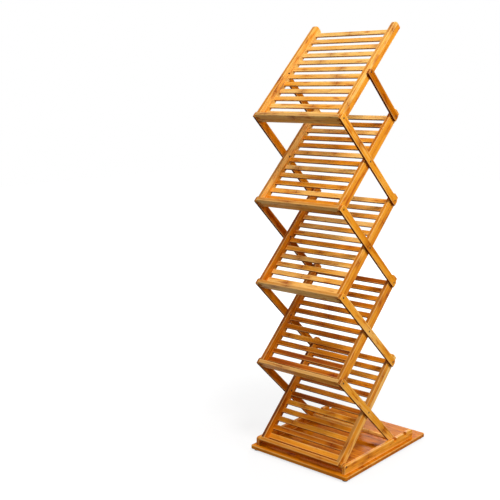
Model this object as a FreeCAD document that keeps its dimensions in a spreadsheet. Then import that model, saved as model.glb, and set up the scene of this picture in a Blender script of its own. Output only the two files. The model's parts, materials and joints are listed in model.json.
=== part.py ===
import FreeCAD, Part
import math
import os
import re

import Sketcher

# Folding display stand: five slatted trays and their side arms form a pair of lazy tongs on a base board.
# Frame: millimetres, X to the right, Y to the back, Z up, origin on the floor under the board's centre.
# Trays are numbered from the top, tray_1, to the bottom, tray_5.

doc = FreeCAD.newDocument("folding_display_stand")

# Driving dimensions: alias, number, what it measures. Lengths are in millimetres and angles in degrees.
SIZES = [
    ("tray_count", 5, "trays in the stack"),
    ("link_half", 139.5, "middle pivot to end pivot, the same on trays and arms"),
    ("open_angle", 45.0, "slope of trays and arms when the stand is up"),
    ("tray_width", 243.5, "over the outer faces of a tray's rails"),
    ("rail_thickness", 9.0, "tray rail, across"),
    ("rail_above", 11.2, "pivot line to the rail's upper edge"),
    ("rail_below", 14.3, "pivot line to the rail's lower edge"),
    ("tip_reach", 20.0, "rail beyond the back pivot"),
    ("tip_round", 13.0, "upper corner of the rail's tip"),
    ("tip_heel", 3.0, "lower corner of the rail's tip"),
    ("edge_round", 1.2, "sanded edges of rails, arms and lips"),
    ("lip_reach", 6.5, "front pivot to the lip's outer face"),
    ("lip_thickness", 9.0, "front lip, front to back"),
    ("lip_height", 24.7, "front lip, edge to edge"),
    ("finger_height", 6.0, "one finger of the corner joint of lip and rail"),
    ("slat_count", 12, "slats in a tray"),
    ("slat_width", 13.5, "slat, along the rail"),
    ("slat_thickness", 4.5, "slat, through"),
    ("slat_round", 1.4, "sanded edges of a slat"),
    ("slat_inset", 3.8, "rail's lower edge to the slat's underside"),
    ("slat_lead", 7.0, "back pivot to the upper edge of the last slat"),
    ("slat_first_gap", 7.2, "lip to the first slat"),
    ("slat_tenon", 4.5, "slat let into the rail"),
    ("mortise_clearance", 0.05, "slat to its mortise, all round"),
    ("side_gap", 0.5, "tray rail to side arm"),
    ("arm_thickness", 6.3, "side arm, across"),
    ("arm_width", 18.8, "side arm, edge to edge"),
    ("arm_reach", 9.2, "arm beyond its end pivots"),
    ("half_arm_reach", 6.0, "half arm beyond its pivot on the top tray"),
    ("arm_round", 8.4, "upper corners of an arm's ends"),
    ("arm_heel", 2.0, "lower corners of an arm's ends"),
    ("pin_diameter", 4.6, "pivot pin"),
    ("pin_clearance", 0.06, "pin to the bore that turns on it, radial"),
    ("pin_seat", 0.02, "pin to the bore that holds it, radial"),
    ("bar_diameter", 10.0, "cross bar between the lowest arms"),
    ("bar_chamfer", 0.8, "edge of the cross bar's ends"),
    ("bar_end_gap", 0.5, "cross bar's end to the base rail"),
    ("base_gap", 0.8, "side arm to base rail"),
    ("base_rail_thickness", 8.5, "base rail, across"),
    ("base_rail_height", 21.0, "base rail above the board"),
    ("base_rail_front", 6.5, "base rail in front of the front pivot"),
    ("base_rail_nose", 6.0, "upper front corner of a base rail"),
    ("base_rail_heel", 8.0, "upper back corner of a base rail"),
    ("base_rail_tail", 34.0, "base rail behind its last notch"),
    ("notch_clearance", 0.6, "cross bar to the side of its notch"),
    ("notch_round", 4.5, "lower corners of a notch"),
    ("notch_step", 43.0, "notch for full height to notch for half height"),
    ("pivot_height", 17.0, "board to the lowest front pivots"),
    ("pivot_setback", 16.0, "board's front edge to the front pivots"),
    ("spacer_diameter", 14.0, "round spacer between bottom tray and base rail"),
    ("spacer_clearance", 0.3, "spacer to the bottom tray"),
    ("plate_overhang", 11.3, "board beyond the base rails, each side"),
    ("plate_tail", 41.0, "board behind the base rails"),
    ("plate_thickness", 9.5, "base board"),
    ("plate_corner", 6.0, "corners of the base board"),
    ("plate_edge", 2.0, "sanded edge of the base board"),
    ("foot_diameter", 15.0, "rubber foot where it meets the board"),
    ("foot_height", 4.0, "rubber foot"),
    ("foot_inset", 12.0, "foot's centre from the board's edges"),
    ("foot_taper", 12.0, "slope of a foot's side"),
    ("screw_diameter", 4.0, "shank of a base screw"),
    ("screw_head", 7.6, "head of a base screw"),
    ("screw_head_height", 2.6, "head of a base screw, along it"),
    ("screw_grip", 11.0, "screw inside the base rail"),
    ("screw_clearance", 0.05, "screw to its hole, radial"),
    ("cut_overrun", 2.0, "how far an open cut runs past the wood"),
]

sheet = doc.addObject("Spreadsheet::Sheet", "Sizes")
for row, (alias, number, note) in enumerate(SIZES, start=1):
    sheet.set(f"A{row}", note)
    sheet.set(f"B{row}", str(number))
    sheet.setAlias(f"B{row}", alias)
doc.recompute()
ALIASES = {alias for alias, number, note in SIZES}

# Where the screws stand along a base rail, as shares of the rail's length
SCREW_SHARES = (0.08, 0.5, 0.92)

# Places worked out from the sheet
RUN = "(link_half * cos(open_angle))"
RISE = "(link_half * sin(open_angle))"
RAIL_INNER = "(tray_width / 2 - rail_thickness)"
ARM_INNER = "(tray_width / 2 + side_gap)"
ARM_OUTER = f"({ARM_INNER} + arm_thickness)"
BASE_INNER = f"({ARM_OUTER} + base_gap)"
BASE_OUTER = f"({BASE_INNER} + base_rail_thickness)"
BASE_RAIL_BACK = f"(2 * {RUN} + notch_step + base_rail_tail)"
BASE_RAIL_LENGTH = f"({BASE_RAIL_BACK} + base_rail_front)"
PLATE_WIDTH = f"(2 * {BASE_OUTER} + 2 * plate_overhang)"
PLATE_DEPTH = f"(pivot_setback + {BASE_RAIL_BACK} + plate_tail)"
PLATE_TOP = "(foot_height + plate_thickness)"
FRONT_PIVOT_Y = f"(pivot_setback - {PLATE_DEPTH} / 2)"
BASE_PIVOT_Z = f"({PLATE_TOP} + pivot_height)"
LIP_BACK = "(lip_thickness - lip_reach)"
SLAT_LOW = "(slat_inset - rail_below)"
SLAT_FIRST = f"({LIP_BACK} + slat_first_gap)"
SLAT_LAST = "(2 * link_half + slat_lead - slat_width)"

SIDES = (("left", -1), ("right", 1))


def bound(text):
    """The same expression with every alias read from the sheet."""
    return re.sub(r"[a-z][a-z_]*", lambda word: "Sizes." + word[0] if word[0] in ALIASES else word[0], text)


def number_of(text):
    return float(sheet.evalExpression(text))


def bind(item, path, text):
    item.setExpression(path, bound(text))


def new_body(label, x, y, z, slope="0"):
    body = doc.addObject("PartDesign::Body", label)
    body.Label = label
    turn = f"rotation(vector(1; 0; 0); {slope})"
    bind(body, "Placement", f"placement(vector({x}; {y}; {z}); {turn})")
    return body


def new_sketch(body, role, name, offset=None):
    sketch = body.newObject("Sketcher::SketchObject", f"{body.Label}_{name}")
    plane = next(item for item in body.Origin.OriginFeatures if item.Role == role)
    sketch.AttachmentSupport = [(plane, "")]
    sketch.MapMode = "FlatFace"
    if offset is not None:
        bind(sketch, "AttachmentOffset.Base.z", offset)
    return sketch


def locate(sketch, kind, geometry, point, text):
    """Holds one point of the sketch at a bound distance from the sketch's origin."""
    distance = number_of(text)
    if distance == 0:
        axis = -2 if kind == "DistanceX" else -1
        sketch.addConstraint(Sketcher.Constraint("PointOnObject", geometry, point, axis))
    elif distance > 0:
        index = sketch.addConstraint(Sketcher.Constraint(kind, -1, 1, geometry, point, distance))
        bind(sketch, f"Constraints[{index}]", text)
    else:
        index = sketch.addConstraint(Sketcher.Constraint(kind, geometry, point, -1, 1, -distance))
        bind(sketch, f"Constraints[{index}]", f"-({text})")


def outline(sketch, left, right, low, high, radii=(None, None, None, None)):
    """A box with its corners rounded, counted from lower left round to upper left, and all sides bound."""
    u0, u1, v0, v1 = (number_of(text) for text in (left, right, low, high))
    corners = [(u0, v0), (u1, v0), (u1, v1), (u0, v1)]
    inward = [(1, 1), (-1, 1), (-1, -1), (1, -1)]
    reach = [number_of(text) if text else 0 for text in radii]
    ahead = [(1, 0), (0, 1), (-1, 0), (0, -1)]
    lines = []
    for side in range(4):
        nxt = (side + 1) % 4
        step = ahead[side]
        start = [corners[side][k] + reach[side] * step[k] for k in (0, 1)]
        end = [corners[nxt][k] - reach[nxt] * step[k] for k in (0, 1)]
        line = Part.LineSegment(FreeCAD.Vector(*start, 0), FreeCAD.Vector(*end, 0))
        lines.append(sketch.addGeometry(line))
        flat = "Horizontal" if step[1] == 0 else "Vertical"
        sketch.addConstraint(Sketcher.Constraint(flat, lines[side]))
    for corner in range(4):
        before = lines[corner - 1]
        after = lines[corner]
        if not radii[corner]:
            sketch.addConstraint(Sketcher.Constraint("Coincident", before, 2, after, 1))
            continue
        centre = [corners[corner][k] + reach[corner] * inward[corner][k] for k in (0, 1)]
        circle = Part.Circle(FreeCAD.Vector(*centre, 0), FreeCAD.Vector(0, 0, 1), reach[corner])
        turn = math.pi + corner * math.pi / 2
        arc = sketch.addGeometry(Part.ArcOfCircle(circle, turn, turn + math.pi / 2))
        sketch.addConstraint(Sketcher.Constraint("Tangent", before, 2, arc, 1))
        sketch.addConstraint(Sketcher.Constraint("Tangent", arc, 2, after, 1))
        index = sketch.addConstraint(Sketcher.Constraint("Radius", arc, reach[corner]))
        bind(sketch, f"Constraints[{index}]", radii[corner])
    locate(sketch, "DistanceY", lines[0], 1, low)
    locate(sketch, "DistanceX", lines[1], 1, right)
    locate(sketch, "DistanceY", lines[2], 1, high)
    locate(sketch, "DistanceX", lines[3], 1, left)


def circle(sketch, u, v, diameter):
    size = number_of(diameter)
    centre = FreeCAD.Vector(number_of(u), number_of(v), 0)
    geometry = sketch.addGeometry(Part.Circle(centre, FreeCAD.Vector(0, 0, 1), size / 2))
    locate(sketch, "DistanceX", geometry, 3, u)
    locate(sketch, "DistanceY", geometry, 3, v)
    index = sketch.addConstraint(Sketcher.Constraint("Diameter", geometry, size))
    bind(sketch, f"Constraints[{index}]", diameter)


def pad(body, sketch, length, side=1, midplane=False):
    feature = body.newObject("PartDesign::Pad", f"{sketch.Label}_pad")
    feature.Profile = sketch
    bind(feature, "Length", length)
    feature.Reversed = side < 0
    feature.Midplane = midplane
    doc.recompute()
    return feature


def pocket(body, sketch, depth=None, side=1):
    """Cuts along the sketch's normal, or against it with side -1; with no depth it cuts right through."""
    whole = body.Shape.Volume
    feature = body.newObject("PartDesign::Pocket", f"{sketch.Label}_pocket")
    feature.Profile = sketch
    if depth is None:
        feature.Type = "ThroughAll"
        feature.Midplane = True
    else:
        bind(feature, "Length", depth)
        feature.Reversed = side > 0
    doc.recompute()
    if not body.Shape.Volume < whole:
        raise ValueError(f"{feature.Label} cuts nothing")
    return feature


def round_edges(body, radius, chosen):
    """Rounds the body's edges that the given test picks."""
    base = body.Tip
    names = [f"Edge{k}" for k, edge in enumerate(base.Shape.Edges, start=1) if chosen(edge)]
    feature = body.newObject("PartDesign::Fillet", f"{body.Label}_round")
    feature.Base = (base, names)
    bind(feature, "Radius", radius)
    doc.recompute()
    return feature


def across(edge):
    """True for an edge that runs along X, from one face of a board to the other."""
    box = edge.BoundBox
    return box.XLength > box.YLength + box.ZLength


def bores(body, places, diameter):
    sketch = new_sketch(body, "YZ_Plane", "bores")
    for along in places:
        circle(sketch, along, "0", diameter)
    pocket(body, sketch)


# Trays

def tray_place(tray):
    """Height of a tray's front pivots."""
    return f"({BASE_PIVOT_Z} + {tray_steps(tray)} * 2 * {RISE})"


def tray_steps(tray):
    return f"(tray_count - {tray})"


def tray_pivots(tray):
    """Places of a tray rail's pivots: the top tray has none at its tip."""
    places = ["0", "link_half", "2 * link_half"]
    return places[:2] if tray == 1 else places


def tray_rail(tray, side_name, side):
    body = new_body(f"tray_{tray}_rail_{side_name}", f"{side} * {RAIL_INNER}", FRONT_PIVOT_Y,
                    tray_place(tray), "open_angle")
    profile = new_sketch(body, "YZ_Plane", "profile")
    outline(profile, "-lip_reach", "2 * link_half + tip_reach", "-rail_below", "rail_above",
            (None, "tip_heel", "tip_round", None))
    pad(body, profile, "rail_thickness", side)
    round_edges(body, "edge_round", lambda edge: not across(edge) and edge.CenterOfMass.y > 0)
    fingers = new_sketch(body, "YZ_Plane", "fingers")
    open_front = "-(lip_reach + cut_overrun)"
    outline(fingers, open_front, LIP_BACK, "finger_height / 2", "rail_above + cut_overrun")
    outline(fingers, open_front, LIP_BACK, "-3 * finger_height / 2", "-finger_height / 2")
    pocket(body, fingers)
    mortise = new_sketch(body, "YZ_Plane", "mortise")
    corner = "slat_round"
    outline(mortise, f"{SLAT_FIRST} - mortise_clearance", f"{SLAT_FIRST} + slat_width + mortise_clearance",
            f"{SLAT_LOW} - mortise_clearance", f"{SLAT_LOW} + slat_thickness + mortise_clearance",
            (corner, corner, corner, corner))
    first = pocket(body, mortise, "slat_tenon", side)
    row_of(body, mortise, first)
    bores(body, tray_pivots(tray), "pin_diameter + 2 * pin_clearance")
    return body


def row_of(body, sketch, first):
    """Repeats a slat, or a slat's mortise, up the tray."""
    row = body.newObject("PartDesign::LinearPattern", f"{sketch.Label}_row")
    row.Originals = [first]
    row.Direction = (sketch, ["H_Axis"])
    bind(row, "Length", f"{SLAT_LAST} - {SLAT_FIRST}")
    bind(row, "Occurrences", "slat_count")
    body.Tip = row
    doc.recompute()


def tray_lip(tray):
    body = new_body(f"tray_{tray}_lip", "0", FRONT_PIVOT_Y, tray_place(tray), "open_angle")
    profile = new_sketch(body, "YZ_Plane", "profile")
    edge = "edge_round"
    outline(profile, "-lip_reach", LIP_BACK, "rail_above - lip_height", "rail_above", (edge, edge, edge, edge))
    pad(body, profile, "tray_width", midplane=True)
    fingers = new_sketch(body, "XZ_Plane", "fingers")
    past_end = "(tray_width / 2 + cut_overrun)"
    bands = (("-finger_height / 2", "finger_height / 2"),
             ("rail_above - lip_height - cut_overrun", "-3 * finger_height / 2"))
    for low, high in bands:
        outline(fingers, RAIL_INNER, past_end, low, high)
        outline(fingers, f"-{past_end}", f"-{RAIL_INNER}", low, high)
    pocket(body, fingers)
    return body


def tray_slats(tray):
    body = new_body(f"tray_{tray}_slats", "0", FRONT_PIVOT_Y, tray_place(tray), "open_angle")
    profile = new_sketch(body, "YZ_Plane", "profile")
    corner = "slat_round"
    outline(profile, SLAT_FIRST, f"{SLAT_FIRST} + slat_width", SLAT_LOW, f"{SLAT_LOW} + slat_thickness",
            (corner, corner, corner, corner))
    first = pad(body, profile, f"2 * {RAIL_INNER} + 2 * slat_tenon", midplane=True)
    row_of(body, profile, first)
    return body


# Side arms: arm N crosses tray N + 1 at its middle and reaches from tray N's front to tray N + 2's tip

def arm_place(arm):
    """Place of an arm's middle pivot: the half arm, arm 0, hangs from the top tray's middle."""
    return f"({FRONT_PIVOT_Y} + {RUN})", f"({tray_place(arm + 1)} + {RISE})"


def side_arm(arm, label, side, front, holes):
    """One arm; holes pairs each bore's place along the arm with its diameter."""
    y, z = arm_place(arm)
    body = new_body(label, f"{side} * {ARM_INNER}", y, z, "-open_angle")
    profile = new_sketch(body, "YZ_Plane", "profile")
    outline(profile, front, "link_half + arm_reach", "-arm_width / 2", "arm_width / 2",
            ("arm_heel", "arm_heel", "arm_round", "arm_round"))
    pad(body, profile, "arm_thickness", side)
    round_edges(body, "edge_round", lambda edge: not across(edge))
    sketch = new_sketch(body, "YZ_Plane", "bores")
    for along, diameter in holes:
        circle(sketch, along, "0", diameter)
    pocket(body, sketch)
    return body


def pivot_pins(arm, label, places):
    """The pins of one pair of arms, from the arms' outer faces through the tray rails."""
    y, z = arm_place(arm)
    body = new_body(label, "0", y, z, "-open_angle")
    for side_name, side in SIDES:
        sketch = new_sketch(body, "YZ_Plane", f"ends_{side_name}", f"{side} * {RAIL_INNER}")
        for along in places:
            circle(sketch, along, "0", "pin_diameter")
        pad(body, sketch, f"{ARM_OUTER} - {RAIL_INNER}", side)
    return body


def cross_bar():
    body = new_body("cross_bar", "0", f"({FRONT_PIVOT_Y} + 2 * {RUN})", BASE_PIVOT_Z)
    sketch = new_sketch(body, "YZ_Plane", "section")
    circle(sketch, "0", "0", "bar_diameter")
    bar = pad(body, sketch, f"2 * {BASE_INNER} - 2 * bar_end_gap", midplane=True)
    ends = [f"Edge{k}" for k, edge in enumerate(bar.Shape.Edges, start=1) if edge.Closed]
    feature = body.newObject("PartDesign::Chamfer", "cross_bar_ends")
    feature.Base = (bar, ends)
    bind(feature, "Size", "bar_chamfer")
    doc.recompute()
    return body


# Base

def base_rail(side_name, side):
    """Stands on the board outside the arms, with a notch for the cross bar at each height of the stand."""
    body = new_body(f"base_rail_{side_name}", f"{side} * {BASE_INNER}", FRONT_PIVOT_Y, BASE_PIVOT_Z)
    profile = new_sketch(body, "YZ_Plane", "profile")
    top = "base_rail_height - pivot_height"
    outline(profile, "-base_rail_front", BASE_RAIL_BACK, "-pivot_height", top,
            (None, None, "base_rail_heel", "base_rail_nose"))
    pad(body, profile, "base_rail_thickness", side)
    foot = number_of("edge_round - pivot_height")
    round_edges(body, "edge_round", lambda edge: not across(edge) and edge.CenterOfMass.z > foot)
    notches = new_sketch(body, "YZ_Plane", "notches")
    half = "(bar_diameter / 2 + notch_clearance)"
    for place in (f"2 * {RUN}", f"2 * {RUN} + notch_step"):
        outline(notches, f"{place} - {half}", f"{place} + {half}", f"-{half}", f"{top} + cut_overrun",
                ("notch_round", "notch_round", None, None))
    pocket(body, notches)
    bores(body, ["0"], "pin_diameter + 2 * pin_seat")
    pilots = new_sketch(body, "XY_Plane", "pilots", "-pivot_height")
    for share in SCREW_SHARES:
        circle(pilots, f"{side} * base_rail_thickness / 2", f"{share} * {BASE_RAIL_LENGTH} - base_rail_front",
               "screw_diameter + 2 * screw_clearance")
    pocket(body, pilots, "screw_grip", 1)
    return body


def screw_places():
    for side_name, side in SIDES:
        for share in SCREW_SHARES:
            x = f"{side} * ({BASE_INNER} + base_rail_thickness / 2)"
            yield x, f"{FRONT_PIVOT_Y} + {share} * {BASE_RAIL_LENGTH} - base_rail_front"


def base_plate():
    body = new_body("base_plate", "0", "0", "foot_height")
    profile = new_sketch(body, "XY_Plane", "profile")
    corner = "plate_corner"
    outline(profile, f"-{PLATE_WIDTH} / 2", f"{PLATE_WIDTH} / 2", f"-{PLATE_DEPTH} / 2", f"{PLATE_DEPTH} / 2",
            (corner, corner, corner, corner))
    pad(body, profile, "plate_thickness")
    round_edges(body, "plate_edge", lambda edge: edge.BoundBox.ZLength < edge.Length / 2)
    for name, diameter, depth in (("shanks", "screw_diameter + 2 * screw_clearance", "plate_thickness"),
                                  ("heads", "screw_head + 2 * screw_clearance", "screw_head_height")):
        sketch = new_sketch(body, "XY_Plane", name)
        for x, y in screw_places():
            circle(sketch, x, y, diameter)
        pocket(body, sketch, depth, 1)
    return body


def base_screws():
    """Screws from under the board into the base rails, heads let in flush."""
    body = new_body("base_screws", "0", "0", "foot_height")
    for name, diameter, length in (("shanks", "screw_diameter", "plate_thickness + screw_grip"),
                                   ("heads", "screw_head", "screw_head_height")):
        sketch = new_sketch(body, "XY_Plane", name)
        for x, y in screw_places():
            circle(sketch, x, y, diameter)
        pad(body, sketch, length)
    return body


def base_feet():
    body = new_body("base_feet", "0", "0", "foot_height")
    sketch = new_sketch(body, "XY_Plane", "seats")
    for side_name, side in SIDES:
        for end in (-1, 1):
            circle(sketch, f"{side} * ({PLATE_WIDTH} / 2 - foot_inset)",
                   f"{end} * ({PLATE_DEPTH} / 2 - foot_inset)", "foot_diameter")
    feet = pad(body, sketch, "foot_height", -1)
    bind(feet, "TaperAngle", "-foot_taper")
    doc.recompute()
    return body


def base_pivots():
    """Pins and round spacers that carry the bottom tray's front between the base rails."""
    pins = new_body("base_pivot_pins", "0", FRONT_PIVOT_Y, BASE_PIVOT_Z)
    spacers = new_body("base_spacers", "0", FRONT_PIVOT_Y, BASE_PIVOT_Z)
    for side_name, side in SIDES:
        sketch = new_sketch(pins, "YZ_Plane", f"end_{side_name}", f"{side} * {RAIL_INNER}")
        circle(sketch, "0", "0", "pin_diameter")
        pad(pins, sketch, f"{BASE_OUTER} - {RAIL_INNER}", side)
        ring = new_sketch(spacers, "YZ_Plane", f"ring_{side_name}", f"{side} * {BASE_INNER}")
        circle(ring, "0", "0", "spacer_diameter")
        circle(ring, "0", "0", "pin_diameter + 2 * pin_seat")
        pad(spacers, ring, f"{BASE_INNER} - tray_width / 2 - spacer_clearance", -side)
    return [pins, spacers]


# The whole stand

TRAY_COUNT = round(number_of("tray_count"))
HELD_BORE = "pin_diameter + 2 * pin_seat"
BAR_BORE = "bar_diameter + 2 * pin_seat"

pieces = [base_plate(), base_feet(), base_screws()]
pieces += [base_rail(side_name, side) for side_name, side in SIDES]
pieces += base_pivots()

for tray in range(1, TRAY_COUNT + 1):
    pieces += [tray_rail(tray, side_name, side) for side_name, side in SIDES]
    pieces += [tray_lip(tray), tray_slats(tray)]

half_holes = [("0", HELD_BORE), ("link_half", HELD_BORE)]
for side_name, side in SIDES:
    pieces.append(side_arm(0, f"half_arm_{side_name}", side, "-half_arm_reach", half_holes))
pieces.append(pivot_pins(0, "half_arm_pins", ["0", "link_half"]))

for arm in range(1, TRAY_COUNT):
    lowest = arm == TRAY_COUNT - 1
    pin_places = ["-link_half", "0"] + ([] if lowest else ["link_half"])
    arm_holes = [(place, HELD_BORE) for place in pin_places]
    if lowest:
        arm_holes.append(("link_half", BAR_BORE))
    for side_name, side in SIDES:
        pieces.append(side_arm(arm, f"arm_{arm}_{side_name}", side, "-(link_half + arm_reach)", arm_holes))
    pieces.append(pivot_pins(arm, f"arm_{arm}_pins", pin_places))
pieces.append(cross_bar())

doc.recompute()
for item in doc.Objects:
    if "Invalid" in item.State or "Error" in item.State:
        raise ValueError(f"{item.Label} did not build: {item.State}")
for piece in pieces:
    if piece.Shape.isNull() or not piece.Shape.isValid():
        raise ValueError(f"{piece.Label} has no valid shape")

os.makedirs("parts", exist_ok=True)
for piece in pieces:
    piece.Shape.exportStep(os.path.join("parts", f"{piece.Label}.step"))
print(f"{len(pieces)} pieces written")
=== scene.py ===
import json
import math

import bmesh
import bpy
from mathutils import Matrix, Vector

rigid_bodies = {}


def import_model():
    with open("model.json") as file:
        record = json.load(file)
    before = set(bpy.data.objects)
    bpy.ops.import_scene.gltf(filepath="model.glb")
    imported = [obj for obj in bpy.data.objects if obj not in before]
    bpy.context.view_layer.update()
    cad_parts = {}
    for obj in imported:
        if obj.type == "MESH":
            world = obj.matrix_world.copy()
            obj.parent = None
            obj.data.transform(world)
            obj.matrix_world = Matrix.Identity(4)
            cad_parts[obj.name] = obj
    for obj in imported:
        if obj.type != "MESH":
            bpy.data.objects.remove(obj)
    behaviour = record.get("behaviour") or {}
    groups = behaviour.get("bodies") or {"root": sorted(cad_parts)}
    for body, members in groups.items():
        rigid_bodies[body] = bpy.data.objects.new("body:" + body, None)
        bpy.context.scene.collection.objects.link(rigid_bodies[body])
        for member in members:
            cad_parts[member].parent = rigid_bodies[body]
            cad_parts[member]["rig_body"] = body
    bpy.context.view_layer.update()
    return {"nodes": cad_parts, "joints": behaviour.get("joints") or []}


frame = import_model()
nodes = frame["nodes"]
scene = bpy.context.scene
scene.view_settings.view_transform = "Standard"

# each body's pivot, and the slope that the trays have at rest (the arms slope the other way)
pivots = {joint["child"]: Vector(joint["pos_m"]) for joint in frame["joints"]}
traySlope = pivots["arm_4"] - pivots["tray_5"]
openTilt = math.atan2(traySlope.z, traySlope.y)
seedStep = 1.7   # keeps the random draws of the pieces apart
seeds = {name: seedStep * place for place, name in enumerate(sorted(nodes))}
print("frame loaded:", len(nodes), "nodes, trays tilted", round(math.degrees(openTilt), 1), "degrees")


# small helpers for shader trees

def paint(red, green, blue):
    # 0-255 screen colour to the linear colour that shaders take
    screen = [channel / 255 for channel in (red, green, blue)]
    return (*[c / 12.92 if c <= 0.04045 else ((c + 0.055) / 1.055) ** 2.4 for c in screen], 1.0)


def addNode(tree, kind, inputs=None, **settings):
    node = tree.nodes.new("ShaderNode" + kind)
    for name, value in settings.items():
        setattr(node, name, value)
    for key, value in (inputs or {}).items():
        if isinstance(value, bpy.types.NodeSocket):
            tree.links.new(value, node.inputs[key])
        else:
            node.inputs[key].default_value = value
    return node


def calc(tree, operation, *values):
    return addNode(tree, "Math", dict(enumerate(values)), operation=operation).outputs[0]


def vecCalc(tree, operation, *values):
    return addNode(tree, "VectorMath", dict(enumerate(values)), operation=operation).outputs[0]


def addUp(tree, total, marks, weights):
    # total plus each named mark times its weight
    for name, weight in weights.items():
        total = calc(tree, "MULTIPLY_ADD", marks[name], weight, total)
    return total


def ease(tree, value, start, end, low=0.0, high=1.0):
    # smooth step from low at start to high at end
    inputs = {"Value": value, "From Min": start, "From Max": end, "To Min": low, "To Max": high}
    return addNode(tree, "MapRange", inputs, interpolation_type="SMOOTHSTEP").outputs["Result"]


def fade(tree, distance, reach):
    # 1 up to the start of the reach, 0 from its end
    return ease(tree, distance, *reach, 1.0, 0.0)


def mixColor(tree, amount, first, second, mode="MIX"):
    # the colour sockets share their names with the number sockets, so they go by place
    inputs = {0: amount, 6: first, 7: second}
    return addNode(tree, "Mix", inputs, data_type="RGBA", blend_type=mode).outputs[2]


# mixes a tint over the colour: real stains, and the painted shade of the narrow faces
def stainAndShade(tree, amount, color, tint):
    return mixColor(tree, amount, color, mixColor(tree, 1.0, color, tint, "MULTIPLY"))


def split(tree, vector):
    node = addNode(tree, "SeparateXYZ", {0: vector})
    return node.outputs["X"], node.outputs["Y"], node.outputs["Z"]


def noise(tree, place, texture):
    spread = vecCalc(tree, "MULTIPLY", place, texture["scale"])
    inputs = {"Vector": spread, "Scale": 1.0, "Detail": texture["detail"], "Roughness": texture["rough"]}
    return addNode(tree, "TexNoise", inputs).outputs[0]


# laminated bamboo: strips glued side by side, with fibres, flecks, stem joints and darker glue lines, a
# painted highlight on the edges and painted shade on the narrow faces

bambooLook = {
    # from the darkest wood to the palest
    "tones": ((0.0, paint(88, 34, 3)), (0.25, paint(158, 74, 5)), (0.5, paint(214, 125, 14)),
              (0.75, paint(239, 159, 44)), (1.0, paint(248, 200, 116))),
    "endDot": paint(110, 62, 26),           # cut fibres in a sawn end
    # tints multiply the wood under them
    "jointTint": paint(158, 84, 36),        # stem joints, flecks and glue lines
    "patchTint": paint(196, 124, 62),
    "endTint": paint(214, 186, 158),        # sawn ends
    "shadeTint": paint(120, 54, 20),        # painted shade on the narrow faces
    # scales are per metre: along the grain, across it, deep
    "streak": {"scale": (9.0, 420.0, 420.0), "detail": 3.0, "rough": 0.6},
    "band": {"scale": (4.0, 95.0, 95.0), "detail": 2.0, "rough": 0.5},
    "cloud": {"scale": (11.0, 16.0, 16.0), "detail": 1.0, "rough": 0.5},
    "patch": {"scale": (26.0, 130.0, 130.0), "detail": 2.0, "rough": 0.5, "range": (0.54, 0.72)},
    "fleck": {"scale": (46.0, 1500.0, 1500.0), "detail": 1.0, "rough": 0.5, "range": (0.58, 0.70)},
    "stripSlide": (3.0, 3.0, 3.0),          # metres that a strip's textures slide at most
    # lengths are in metres
    "jointSpacing": 0.235,                  # between the stem joints of a strip
    "jointWobble": 0.012,
    "jointlessShare": 0.22,                 # of the strips
    "ringReach": (0.0004, 0.0022),
    "zoneReach": (0.0020, 0.0260),
    "zoneStreaks": (0.30, 0.62),            # a joint's zone shows in these fibres
    "glueReach": (0.00008, 0.00045),
    "arrisReach": (0.0008, 0.0032),
    "arrisClouds": (0.2, 0.5),              # the painted highlight on the arrises shows in these clouds
    "dotScale": 1150.0,
    "dotReach": (0.16, 0.34),               # shares of a dot's cell
    "endFacing": (0.70, 0.95),              # how squarely a sawn end looks along the grain
    "narrowFacing": (0.6, 0.95),
    # how strongly each mark shows
    "toneWeights": {"streak": 0.40, "band": 0.55, "cloud": 0.30},
    "jointWeights": {"ring": 0.30, "zone": 0.62},
    "stainWeights": {"patch": 0.70, "fleck": 0.35, "glue": 0.55},
    "arrisWeight": 0.45,
    "dotWeight": 0.75,
    "roughness": 0.30,
    "roughWeights": {"streak": 0.20, "fleck": 0.08, "sawn": 0.18, "narrow": 0.35, "arris": -0.06},
    "heightWeights": {"ring": 0.8, "streak": 0.5, "glue": -0.7, "fleck": -0.2},
    "reliefDepth": 0.0004,
    "varnishRoughness": 0.07,
}


def stemJoints(tree, look, along, band, drawnShift):
    # a thin ring and the zone round it, at a random place along each strip
    spacing = look["jointSpacing"]
    wobble = calc(tree, "MULTIPLY_ADD", band, look["jointWobble"], -look["jointWobble"] / 2)
    turns = calc(tree, "DIVIDE", calc(tree, "ADD", along, wobble), spacing)
    phase = calc(tree, "FRACT", calc(tree, "ADD", turns, drawnShift))
    fromJoint = calc(tree, "ABSOLUTE", calc(tree, "MULTIPLY_ADD", phase, spacing, -spacing / 2))
    return fade(tree, fromJoint, look["ringReach"]), fade(tree, fromJoint, look["zoneReach"])


def glueLines(tree, look, cells, stripScale):
    shares = split(tree, vecCalc(tree, "FRACTION", cells))[1:]
    scales = split(tree, stripScale)[1:]
    gaps = [calc(tree, "DIVIDE", calc(tree, "PINGPONG", share, 0.5), scale)
            for share, scale in zip(shares, scales)]
    return fade(tree, calc(tree, "MINIMUM", *gaps), look["glueReach"])


# painted highlight: the wood near the piece's edges is lightened, in clouds
def paintedArrisHighlight(tree, look, place, half, cloud):
    # two of the three distances to the piece's faces are small there
    edgeX, edgeY, edgeZ = split(tree, vecCalc(tree, "SUBTRACT", half, vecCalc(tree, "ABSOLUTE", place)))
    pairs = [calc(tree, "MAXIMUM", *pair) for pair in ((edgeX, edgeY), (edgeX, edgeZ), (edgeY, edgeZ))]
    fromArris = calc(tree, "MINIMUM", calc(tree, "MINIMUM", pairs[0], pairs[1]), pairs[2])
    return calc(tree, "MULTIPLY", fade(tree, fromArris, look["arrisReach"]),
                ease(tree, cloud, *look["arrisClouds"]))


def toneRamp(tree, tone, tones):
    ramp = addNode(tree, "ValToRGB", {"Fac": tone})
    stops = ramp.color_ramp.elements
    while len(stops) < len(tones):
        stops.new(0.5)
    for stop, (position, color) in zip(stops, tones):
        stop.position = position
        stop.color = color
    return ramp.outputs["Color"]


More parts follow.
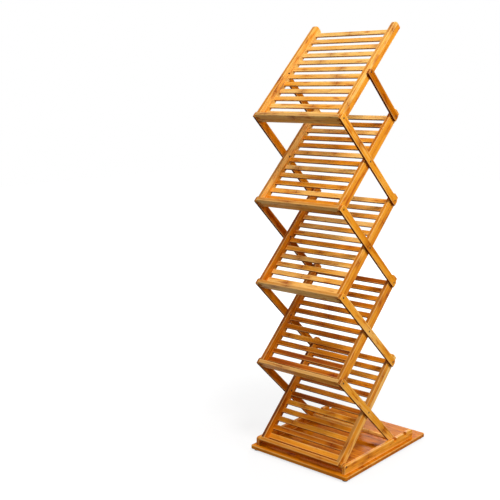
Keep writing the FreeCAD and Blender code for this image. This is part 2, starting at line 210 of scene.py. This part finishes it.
def makeBambooGroup(look):
    tree = bpy.data.node_groups.new("laminatedBamboo", "ShaderNodeTree")
    inputs = {"Place": "Vector", "Facing": "Vector", "Half": "Vector", "StripScale": "Vector",
              "StripShift": "Vector", "Seed": "Float", "Tone": "Float", "Contrast": "Float",
              "Grain": "Float", "EndShade": "Float", "EdgeShade": "Vector"}
    outputs = {"Color": "Color", "Roughness": "Float", "Height": "Float"}
    for way, sockets in (("INPUT", inputs), ("OUTPUT", outputs)):
        for name, kind in sockets.items():
            tree.interface.new_socket(name, in_out=way, socket_type="NodeSocket" + kind)
    given = tree.nodes.new("NodeGroupInput").outputs
    result = tree.nodes.new("NodeGroupOutput").inputs
    place = given["Place"]

    # which strip, and the random numbers for it
    cells = vecCalc(tree, "MULTIPLY_ADD", place, given["StripScale"], given["StripShift"])
    cellY, cellZ = split(tree, vecCalc(tree, "FLOOR", cells))[1:]
    stripId = addNode(tree, "CombineXYZ", {"X": given["Seed"], "Y": cellY, "Z": cellZ}).outputs[0]
    drawn = addNode(tree, "TexWhiteNoise", {"Vector": stripId}, noise_dimensions="3D").outputs
    drawnShift, drawnJoint = split(tree, drawn["Color"])[:2]
    slid = vecCalc(tree, "MULTIPLY_ADD", drawn["Color"], look["stripSlide"], place)

    # fibres, bands, clouds, patches and flecks, then what is cut or glued, the painted highlight on the
    # edges and the painted shade on the narrow faces
    marks = {name: noise(tree, slid, look[name]) for name in ("streak", "band", "cloud", "patch", "fleck")}
    for name in ("patch", "fleck"):
        marks[name] = ease(tree, marks[name], *look[name]["range"])
    along = split(tree, place)[0]
    marks["ring"], zone = stemJoints(tree, look, along, marks["band"], drawnShift)
    marks["zone"] = calc(tree, "MULTIPLY", zone, ease(tree, marks["streak"], *look["zoneStreaks"]))
    marks["glue"] = glueLines(tree, look, cells, given["StripScale"])
    marks["arris"] = paintedArrisHighlight(tree, look, place, given["Half"], marks["cloud"])
    endOn, sideOn, flatOn = split(tree, vecCalc(tree, "ABSOLUTE", given["Facing"]))
    marks["sawn"] = calc(tree, "MULTIPLY", ease(tree, endOn, *look["endFacing"]), given["EndShade"])
    # painted shade: the narrow faces are darkened by how they face, as strongly as EdgeShade asks
    sideShade, flatShade = split(tree, given["EdgeShade"])[1:]
    narrow = {name: ease(tree, facing, *look["narrowFacing"])
              for name, facing in (("side", sideOn), ("flat", flatOn))}
    marks["narrow"] = addUp(tree, 0.0, narrow, {"side": sideShade, "flat": flatShade})

    # colour
    drawnTone = calc(tree, "SUBTRACT", drawn["Value"], 0.5)
    tone = calc(tree, "MULTIPLY_ADD", drawnTone, given["Contrast"], given["Tone"])
    swings = {name: calc(tree, "MULTIPLY", calc(tree, "SUBTRACT", marks[name], 0.5), given["Grain"])
              for name in look["toneWeights"]}
    wood = toneRamp(tree, addUp(tree, tone, swings, look["toneWeights"]), look["tones"])
    hasJoint = calc(tree, "GREATER_THAN", drawnJoint, look["jointlessShare"])
    joint = calc(tree, "MULTIPLY", addUp(tree, 0.0, marks, look["jointWeights"]), hasJoint)
    wood = stainAndShade(tree, joint, wood, look["jointTint"])
    for name, weight in look["stainWeights"].items():
        tint = look["patchTint"] if name == "patch" else look["jointTint"]
        wood = stainAndShade(tree, calc(tree, "MULTIPLY", marks[name], weight), wood, tint)
    palest = look["tones"][-1][1]
    # painted highlight on the edges, mixed toward the palest wood
    wood = mixColor(tree, calc(tree, "MULTIPLY", marks["arris"], look["arrisWeight"]), wood, palest)
    ends = mixColor(tree, 1.0, wood, look["endTint"], "MULTIPLY")
    dots = addNode(tree, "TexVoronoi", {"Vector": place, "Scale": look["dotScale"]}).outputs["Distance"]
    ends = mixColor(tree, ease(tree, dots, *look["dotReach"], look["dotWeight"], 0.0), ends, look["endDot"])
    wood = mixColor(tree, marks["sawn"], wood, ends)
    # painted shade on the narrow faces
    wood = stainAndShade(tree, marks["narrow"], wood, look["shadeTint"])
    tree.links.new(wood, result["Color"])

    # gloss and relief
    tree.links.new(addUp(tree, look["roughness"], marks, look["roughWeights"]), result["Roughness"])
    tree.links.new(addUp(tree, 0.0, marks, look["heightWeights"]), result["Height"])
    return tree


bamboo = makeBambooGroup(bambooLook)
print("bamboo group:", len(bamboo.nodes), "shader nodes")


def grainTurn(node, lengthwise):
    # local X runs with the grain: along the tilted piece, or from side to side
    body = nodes[node]["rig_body"]
    tilt = 0.0 if body == "base" else openTilt if body.startswith("tray") else -openTilt
    turn = Matrix.Rotation(tilt, 3, "X")
    return turn @ Matrix.Rotation(math.pi / 2, 3, "Z") if lengthwise else turn


def localBox(node, turn):
    # middle of the piece, in the frame's place, and its half sizes along the grain, sideways and deep
    spots = [turn.transposed() @ vertex.co for vertex in nodes[node].data.vertices]
    low = Vector([min(spot[axis] for spot in spots) for axis in range(3)])
    high = Vector([max(spot[axis] for spot in spots) for axis in range(3)])
    return turn @ ((low + high) / 2), (high - low) / 2


def foldRow(tree, row, place, half, seed):
    # a row of equal pieces: fold them onto one, and give each its own seed
    pitch = (2 * half.y - row["width"]) / (row["count"] - 1)
    along, across, deep = split(tree, place)
    turns = calc(tree, "ADD", calc(tree, "DIVIDE", across, pitch), row["count"] / 2)
    folded = calc(tree, "MULTIPLY", calc(tree, "SUBTRACT", calc(tree, "FRACT", turns), 0.5), pitch)
    place = addNode(tree, "CombineXYZ", {"X": along, "Y": folded, "Z": deep}).outputs[0]
    half = Vector((half.x, row["width"] / 2, half.z))
    return place, half, calc(tree, "ADD", calc(tree, "FLOOR", turns), seed)


# how much lighter or darker than its look a piece is: partly its own wood, partly painted light and shade,
# darker on most left-hand pieces and the lowest trays' slats, lighter on the lips and the cross bar
pieceToneAndPaintedLight = {
    "tray_1_rail_left": 0.14, "tray_1_rail_right": 0.10, "tray_1_lip": 0.28, "tray_1_slats": 0.33,
    "tray_2_rail_left": 0.14, "tray_2_rail_right": 0.0, "tray_2_lip": 0.20, "tray_2_slats": 0.20,
    "tray_3_rail_left": -0.20, "tray_3_rail_right": 0.0, "tray_3_lip": 0.28, "tray_3_slats": 0.17,
    "tray_4_rail_left": -0.12, "tray_4_rail_right": 0.12, "tray_4_lip": 0.28, "tray_4_slats": -0.17,
    "tray_5_rail_left": -0.20, "tray_5_rail_right": 0.12, "tray_5_lip": 0.02, "tray_5_slats": -0.12,
    "half_arm_left": -0.22, "half_arm_right": -0.12,
    "arm_1_left": -0.14, "arm_2_left": -0.30, "arm_3_left": -0.18, "arm_4_left": -0.28,
    "arm_1_right": 0.05, "arm_2_right": 0.03, "arm_3_right": 0.03, "arm_4_right": 0.24,
    "base_rail_right": 0.06, "cross_bar": 0.44,
}


def bambooMaterial(node, look):
    turn = grainTurn(node, look["lengthwise"])
    centre, half = localBox(node, turn)
    seed = seeds[node]
    material = bpy.data.materials.new("bamboo_" + node)
    material.use_nodes = True
    tree = material.node_tree
    shader = tree.nodes["Principled BSDF"]
    source = addNode(tree, "TexCoord").outputs
    angles = turn.to_euler("XYZ")
    placing = {"Vector": source["Object"], "Location": centre, "Rotation": angles}
    place = addNode(tree, "Mapping", placing, vector_type="TEXTURE").outputs[0]
    turning = {"Vector": source["Normal"], "Rotation": angles}
    facing = addNode(tree, "Mapping", turning, vector_type="TEXTURE").outputs[0]
    if "repeat" in look:
        place, half, seed = foldRow(tree, look["repeat"], place, half, seed)
    stripScale = (0.0, *[1 / size for size in look["strip"]])
    wood = addNode(tree, "Group", {
        "Place": place, "Facing": facing, "Half": half, "StripScale": stripScale,
        "StripShift": (0.0, *look["shift"]), "Seed": seed, "Tone": look["tone"] + pieceToneAndPaintedLight.get(node, 0.0),
        "Contrast": look["contrast"], "Grain": look["grain"],
        "EndShade": look["endShade"], "EdgeShade": look["edgeShade"],
    }, node_tree=bamboo).outputs
    tree.links.new(wood["Color"], shader.inputs["Base Color"])
    tree.links.new(wood["Roughness"], shader.inputs["Roughness"])
    relief = {"Strength": look["relief"], "Distance": bambooLook["reliefDepth"], "Height": wood["Height"]}
    tree.links.new(addNode(tree, "Bump", relief).outputs["Normal"], shader.inputs["Normal"])
    shader.inputs["Specular IOR Level"].default_value = look["gloss"]
    shader.inputs["Coat Weight"].default_value = look["varnish"]
    shader.inputs["Coat Roughness"].default_value = bambooLook["varnishRoughness"]
    return material


def dress(node, material):
    for holder in nodes[node].material_slots:
        holder.material = material


# a strip's sizes are in metres, sideways and deep, and its shift is in strips

railLook = {
    "lengthwise": True,
    "strip": (0.030, 0.0125), "shift": (0.5, 0.0),   # two strips up the side of a rail
    "tone": 0.62, "contrast": 0.30, "grain": 1.0, "endShade": 1.0,
    "edgeShade": (0.0, 0.0, 0.0), "relief": 0.35, "gloss": 0.06, "varnish": 0.0,
}
# painted shade on the narrow edges of these rails
shadedRailLook = dict(railLook, edgeShade=(0.0, 0.0, 0.35))
shadedRails = ("tray_2_rail_left", "tray_4_rail_left", "tray_4_rail_right",
               "tray_5_rail_left", "tray_5_rail_right")
for name in nodes:
    if name.startswith("tray") and "rail" in name:
        look = shadedRailLook if name in shadedRails else railLook
        dress(name, bambooMaterial(name, look))

lipLook = {
    "lengthwise": False,
    "strip": (0.030, 0.0135), "shift": (0.5, 0.1),
    "tone": 0.62, "contrast": 0.30, "grain": 1.0, "endShade": 1.0,
    "edgeShade": (0.0, 0.0, 0.0), "relief": 0.35, "gloss": 0.06, "varnish": 0.0,
}
for name in nodes:
    if name.endswith("_lip"):
        dress(name, bambooMaterial(name, lipLook))

slatLook = {
    "lengthwise": False,
    "repeat": {"count": 12, "width": 0.0135},
    "strip": (0.060, 0.030), "shift": (0.5, 0.5),    # one strip to a slat
    "tone": 0.60, "contrast": 0.42, "grain": 1.0, "endShade": 1.0,
    # painted shade on the slats' narrow faces
    "edgeShade": (0.0, 0.9, 0.0), "relief": 0.30, "gloss": 0.06, "varnish": 0.0,
}
topSlatLook = dict(slatLook, contrast=0.18, edgeShade=(0.0, 0.4, 0.0))   # the top tray is the most even, with less painted shade on its slats' narrow faces
for name in nodes:
    if name.endswith("_slats"):
        look = topSlatLook if name.startswith("tray_1") else slatLook
        dress(name, bambooMaterial(name, look))

armLook = {
    "lengthwise": True,
    "strip": (0.030, 0.0205), "shift": (0.5, 0.5),
    "tone": 0.62, "contrast": 0.24, "grain": 1.0, "endShade": 1.0,
    # painted shade on the arms' narrow faces
    "edgeShade": (0.0, 0.0, 0.9), "relief": 0.35, "gloss": 0.0, "varnish": 0.0,
}
for name in nodes:
    if "arm" in name and not name.endswith("_pins"):
        dress(name, bambooMaterial(name, armLook))

boardLook = {
    "lengthwise": False,
    "strip": (0.0205, 0.030), "shift": (0.3, 0.5),
    "tone": 0.48, "contrast": 0.10, "grain": 0.45, "endShade": 0.35,
    "edgeShade": (0.0, 0.0, 0.0), "relief": 0.12, "gloss": 0.0, "varnish": 0.08,
}
dress("base_plate", bambooMaterial("base_plate", boardLook))

baseRailLook = dict(railLook, strip=(0.030, 0.0150), shift=(0.5, 0.2), tone=0.58, endShade=0.5)
for name in ("base_rail_left", "base_rail_right"):
    dress(name, bambooMaterial(name, baseRailLook))

barLook = dict(armLook, lengthwise=False, strip=(0.05, 0.05), edgeShade=(0.0, 0.0, 0.0), tone=0.56)
for name in ("cross_bar", "base_spacers"):
    dress(name, bambooMaterial(name, barLook))
print("bamboo on", sum(1 for m in bpy.data.materials if m.name.startswith("bamboo_")), "pieces")


# metal and rubber

scuffLook = {
    "detail": 3.0, "rough": 0.6,
    "wornRange": (0.45, 0.68),   # noise at which the worn tone comes in
    "shineRange": (0.3, 0.7),
    "relief": 0.2, "reliefDepth": 0.0001,
}
pinLook = {
    "color": paint(40, 28, 18), "worn": paint(104, 78, 50),
    "roughness": (0.28, 0.5), "scuffScale": 900.0, "metallic": 1.0,
}
screwLook = {
    "color": paint(150, 148, 140), "worn": paint(196, 194, 188),
    "roughness": (0.22, 0.42), "scuffScale": 1200.0, "metallic": 1.0,
}
footLook = {
    "color": paint(22, 21, 20), "worn": paint(46, 44, 42),
    "roughness": (0.55, 0.8), "scuffScale": 700.0, "metallic": 0.0,
}


def scuffedMaterial(name, look):
    # metal or rubber with a worn tone in its scuffs
    material = bpy.data.materials.new(name)
    material.use_nodes = True
    tree = material.node_tree
    shader = tree.nodes["Principled BSDF"]
    place = addNode(tree, "TexCoord").outputs["Object"]
    scuffs = noise(tree, place, dict(scuffLook, scale=[look["scuffScale"]] * 3))
    worn = ease(tree, scuffs, *scuffLook["wornRange"])
    tree.links.new(mixColor(tree, worn, look["color"], look["worn"]), shader.inputs["Base Color"])
    smooth, dull = look["roughness"]
    tree.links.new(ease(tree, scuffs, *scuffLook["shineRange"], dull, smooth), shader.inputs["Roughness"])
    relief = {"Strength": scuffLook["relief"], "Distance": scuffLook["reliefDepth"], "Height": scuffs}
    tree.links.new(addNode(tree, "Bump", relief).outputs["Normal"], shader.inputs["Normal"])
    shader.inputs["Metallic"].default_value = look["metallic"]
    return material


pinMetal = scuffedMaterial("bronzed_pin", pinLook)
for name in nodes:
    if name.endswith("_pins"):
        dress(name, pinMetal)
dress("base_screws", scuffedMaterial("zinc_screw", screwLook))
dress("base_feet", scuffedMaterial("foot_rubber", footLook))
print("pins, screws and feet finished")


# stage, light and camera

stageLook = {
    "white": (1.0, 1.0, 1.0, 1.0),
    "floorSide": 12.0,
    "floorColor": (0.26, 0.26, 0.26, 1.0),
    "floorRoughness": 0.9,
    "glow": (0.74, 1.0), "glowReach": (0.3, 1.2),   # shown to the eye: lower where the shadow falls
    "skyTop": (0.22, 0.22, 0.22, 1.0),
    "skyRim": (0.09, 0.09, 0.09, 1.0),
    "skyRise": (-0.1, 0.9),
    "lamps": {   # metres and watts
        "key": {"place": (1.45, -0.85, 2.5), "aim": (0.0, 0.0, 0.6), "size": 0.7, "power": 49.0},
        "front": {"place": (0.3, -2.2, 2.3), "aim": (0.0, 0.0, 0.6), "size": 0.9, "power": 12.0},
        "side": {"place": (2.1, 0.45, 1.3), "aim": (0.0, 0.0, 0.3), "size": 1.0, "power": 20.0},
        "back": {"place": (-0.9, 2.3, 1.0), "aim": (0.0, 0.0, 0.4), "size": 1.2, "power": 24.0},
        "left": {"place": (-2.2, -0.2, 1.2), "aim": (0.0, 0.0, 0.5), "size": 1.2, "power": 16.0},
    },
}


def shownToEye(tree):
    # 1 for what the camera sees straight, mirrored or through glass, 0 for light that bounces
    rays = addNode(tree, "LightPath").outputs
    mirrored = calc(tree, "MAXIMUM", rays["Is Glossy Ray"], rays["Is Transmission Ray"])
    return calc(tree, "MAXIMUM", rays["Is Camera Ray"], mirrored)


def makeFloor(look):
    mesh = bpy.data.meshes.new("floor")
    shape = bmesh.new()
    bmesh.ops.create_grid(shape, x_segments=1, y_segments=1, size=look["floorSide"] / 2)
    shape.to_mesh(mesh)
    shape.free()
    floor = bpy.data.objects.new("floor", mesh)
    scene.collection.objects.link(floor)
    material = bpy.data.materials.new("pale_floor")
    material.use_nodes = True
    tree = material.node_tree
    shader = tree.nodes["Principled BSDF"]
    shader.inputs["Base Color"].default_value = look["floorColor"]
    shader.inputs["Roughness"].default_value = look["floorRoughness"]
    shader.inputs["Specular IOR Level"].default_value = 0.0
    shader.inputs["Emission Color"].default_value = look["white"]
    place = addNode(tree, "TexCoord").outputs["Object"]
    away = addNode(tree, "VectorMath", {0: place}, operation="LENGTH").outputs["Value"]
    glow = ease(tree, away, *look["glowReach"], *look["glow"])
    tree.links.new(calc(tree, "MULTIPLY", shownToEye(tree), glow), shader.inputs["Emission Strength"])
    mesh.materials.append(material)


def makeSky(look):
    world = bpy.data.worlds.new("studio")
    world.use_nodes = True
    scene.world = world
    tree = world.node_tree
    upward = split(tree, addNode(tree, "TexCoord").outputs["Generated"])[2]
    sky = mixColor(tree, ease(tree, upward, *look["skyRise"]), look["skyRim"], look["skyTop"])
    shown = mixColor(tree, shownToEye(tree), sky, look["white"])
    tree.links.new(shown, tree.nodes["Background"].inputs["Color"])


def makeLamp(name, lamp):
    light = bpy.data.lights.new(name, "AREA")
    light.shape = "DISK"
    light.size = lamp["size"]
    light.energy = lamp["power"]
    holder = bpy.data.objects.new(name, light)
    holder.location = lamp["place"]
    away = Vector(lamp["place"]) - Vector(lamp["aim"])
    holder.rotation_euler = away.to_track_quat("Z", "Y").to_euler()
    scene.collection.objects.link(holder)


makeFloor(stageLook)
makeSky(stageLook)
for name, lamp in stageLook["lamps"].items():
    makeLamp(name, lamp)

photoView = {
    "side": 500,                            # pixels, both ways
    "focal": 856.8,                         # pixels
    "centre": (332.3, 231.0),               # pixel that the lens points at
    "sensor": 36.0,                         # millimetres
    "azimuth": 38.402, "elevation": 9.277,  # degrees
    "target": (0.10729, -0.16312, 0.57488),  # metres, a point on the lens's axis
    "distance": 1.8736,                     # metres from the target
}


def makeCamera(look):
    lens = bpy.data.cameras.new("photoView")
    lens.sensor_width = look["sensor"]
    lens.lens = look["focal"] * look["sensor"] / look["side"]
    lens.shift_x = 0.5 - look["centre"][0] / look["side"]
    lens.shift_y = look["centre"][1] / look["side"] - 0.5
    azimuth, elevation = math.radians(look["azimuth"]), math.radians(look["elevation"])
    camera = bpy.data.objects.new("photoView", lens)
    camera.rotation_euler = (math.pi / 2 - elevation, 0.0, azimuth)
    back = camera.rotation_euler.to_matrix() @ Vector((0.0, 0.0, 1.0))
    camera.location = Vector(look["target"]) + back * look["distance"]
    scene.collection.objects.link(camera)
    scene.camera = camera


makeCamera(photoView)
print("stage, lamps and camera placed")
